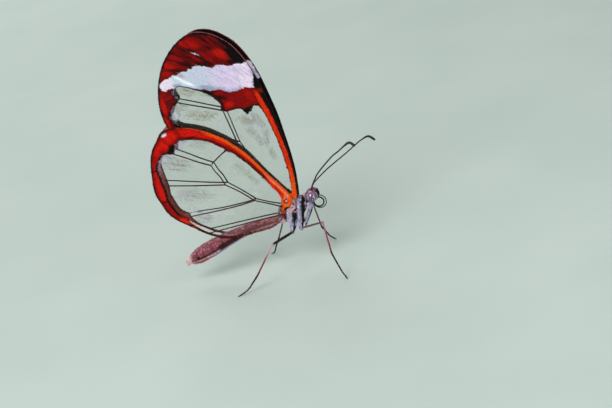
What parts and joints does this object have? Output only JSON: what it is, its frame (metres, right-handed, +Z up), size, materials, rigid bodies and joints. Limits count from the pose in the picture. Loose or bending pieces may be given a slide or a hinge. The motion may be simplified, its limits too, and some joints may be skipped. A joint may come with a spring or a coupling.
{
  "type": "glasswing butterfly",
  "caption": "Still, life-size butterfly standing with closed clear wings, edged in orange-red and black, with a white wing band, coiled tongue and long feelers.",
  "frame": {"origin": "floor level under the middle of the model's bounding box; the body's middle plane is y = 0", "axes": "+X forward, towards the head; +Y to the butterfly's left, across the closed wings; +Z up, towards the wing tips"},
  "size_m": [0.034, 0.0164, 0.0399],
  "materials": {
    "thorax": "bands of pale lavender and black hair",
    "abdomen": "dusty mauve-brown scales",
    "head": "short pale and dark hair",
    "eye": "smooth, banded pink-grey and dark",
    "feelers": "satin black-brown",
    "forewing": "clear membrane with red, black and white scales",
    "hindwing": "clear membrane with an orange-red, black-edged border",
    "legs": "dark red-brown, satin",
    "forelegs": "pale hair"
  },
  "bodies": {
    "root": {"thorax": "thorax", "abdomen": "abdomen", "head": "head", "eye_left": "eye", "eye_right": "eye", "antenna_left": "feelers", "antenna_right": "feelers", "palp_left": "feelers", "palp_right": "feelers", "proboscis": "feelers", "forewing_left": "forewing", "forewing_right": "forewing", "hindwing_left": "hindwing", "hindwing_right": "hindwing", "foreleg_left": "forelegs", "foreleg_right": "forelegs", "coxa_mid_left": "legs", "coxa_mid_right": "legs", "coxa_hind_left": "legs", "coxa_hind_right": "legs", "femur_mid_left": "legs", "femur_mid_right": "legs", "femur_hind_left": "legs", "femur_hind_right": "legs", "tibia_mid_left": "legs", "tibia_mid_right": "legs", "tibia_hind_left": "legs", "tibia_hind_right": "legs", "tarsus_mid_left": "legs", "tarsus_mid_right": "legs", "tarsus_hind_left": "legs", "tarsus_hind_right": "legs"}
  },
  "joints": []
}
